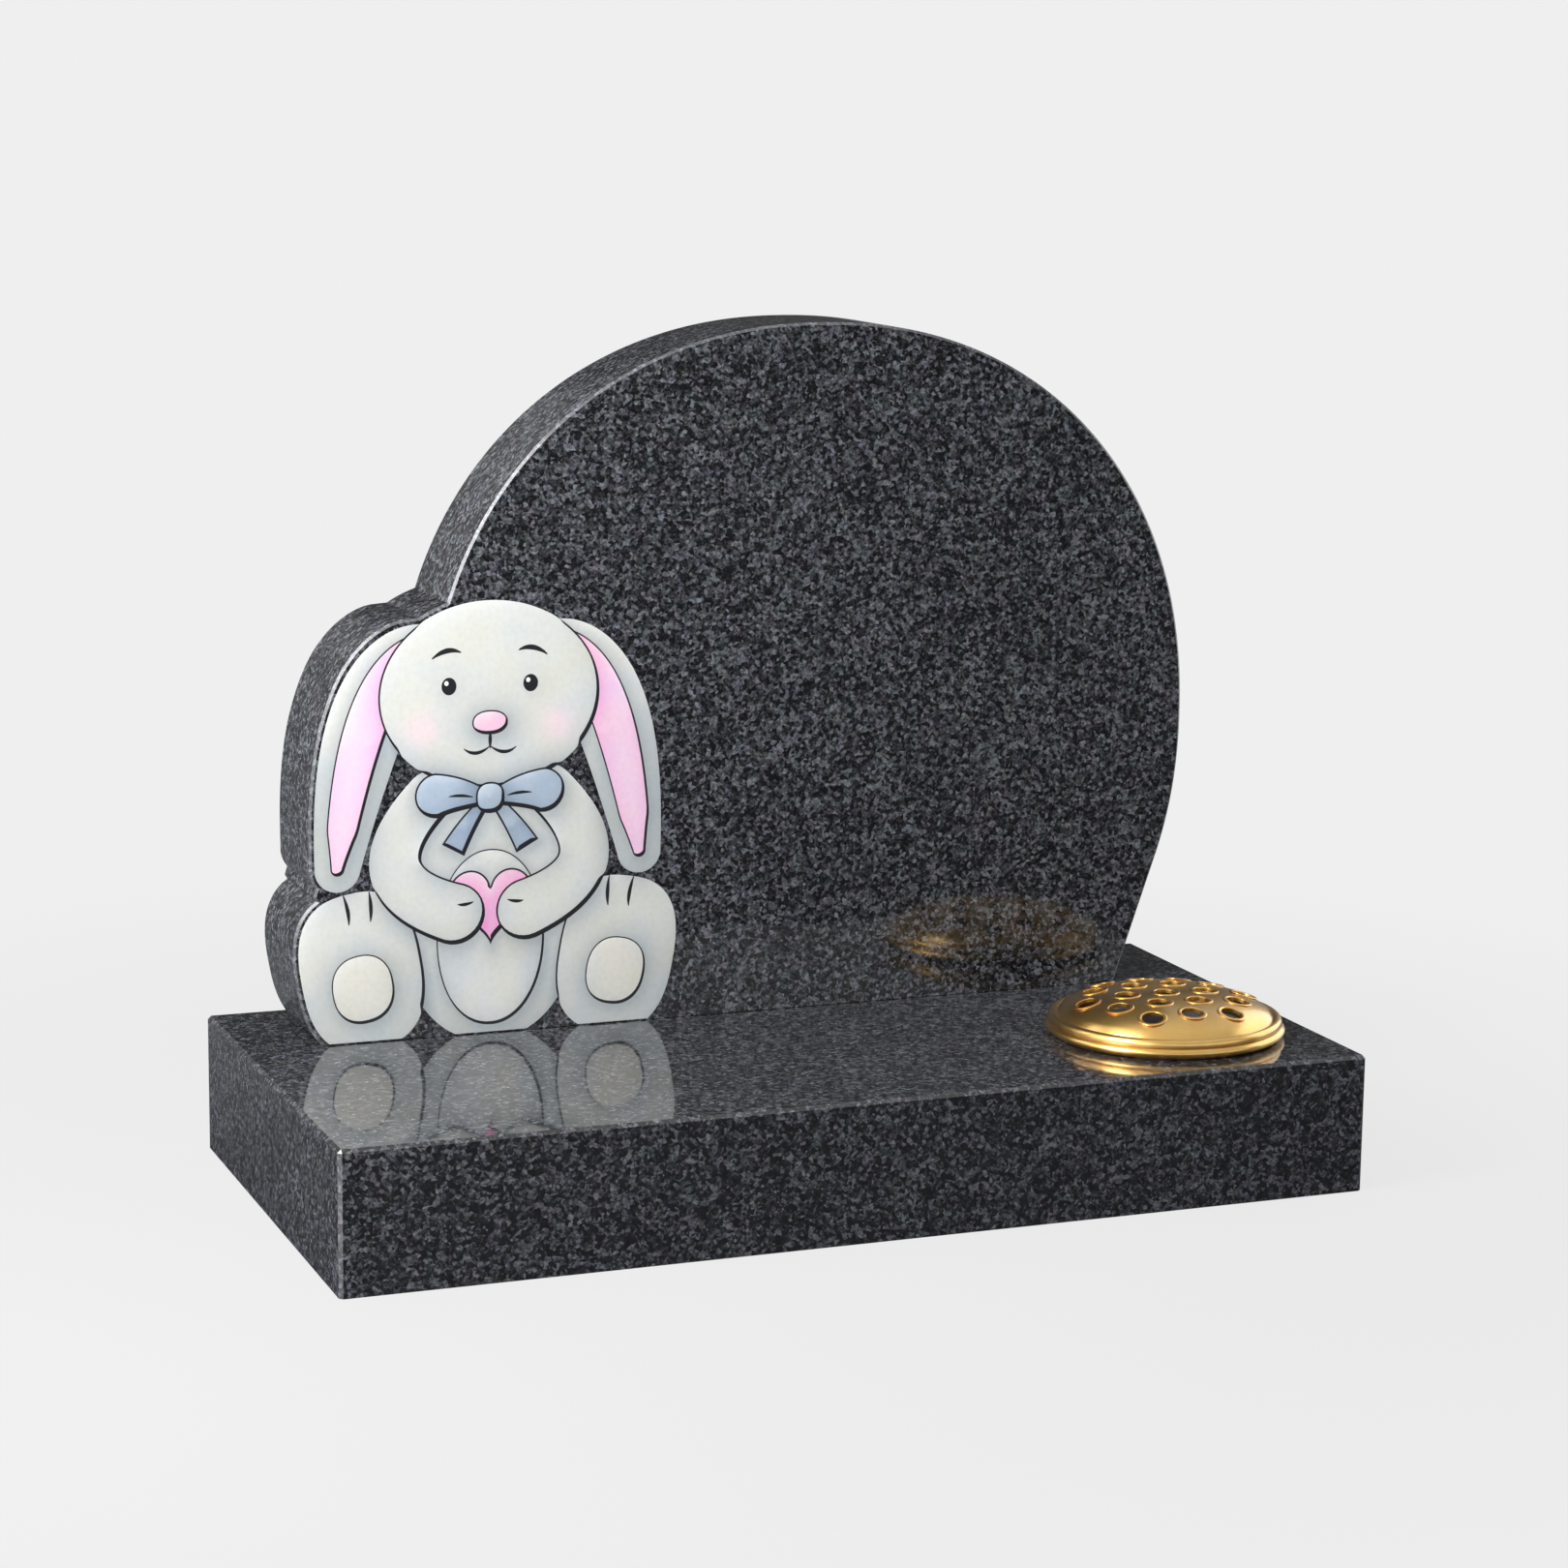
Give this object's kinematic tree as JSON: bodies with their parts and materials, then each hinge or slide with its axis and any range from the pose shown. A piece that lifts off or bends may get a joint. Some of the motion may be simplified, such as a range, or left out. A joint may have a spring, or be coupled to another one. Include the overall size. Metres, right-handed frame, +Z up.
{
  "type": "granite child memorial",
  "caption": "Child memorial of polished granite: a round headstone with a figure-shaped lobe on a slab base with a sunk flower container and perforated lid.",
  "frame": {"origin": "on the ground under the middle of the base", "axes": "+Z up, +X to the right along the base's width, -Y the memorial's front"},
  "size_m": [0.61, 0.305, 0.4917],
  "materials": {
    "base_granite": "polished dark grey granite, fine black and grey grain",
    "headstone_granite": "polished dark grey granite, fine black and grey grain",
    "painted_figure": "satin enamel paint on the stone, off-white with soft grey shading, black line and pink",
    "container_aluminium": "spun, satin",
    "lid_gold": "gold anodised, satin to bright"
  },
  "bodies": {
    "root": {"granite_base": "base_granite", "headstone": "headstone_granite", "flower_container": "container_aluminium", "flower_container_lid": "lid_gold"}
  },
  "joints": []
}
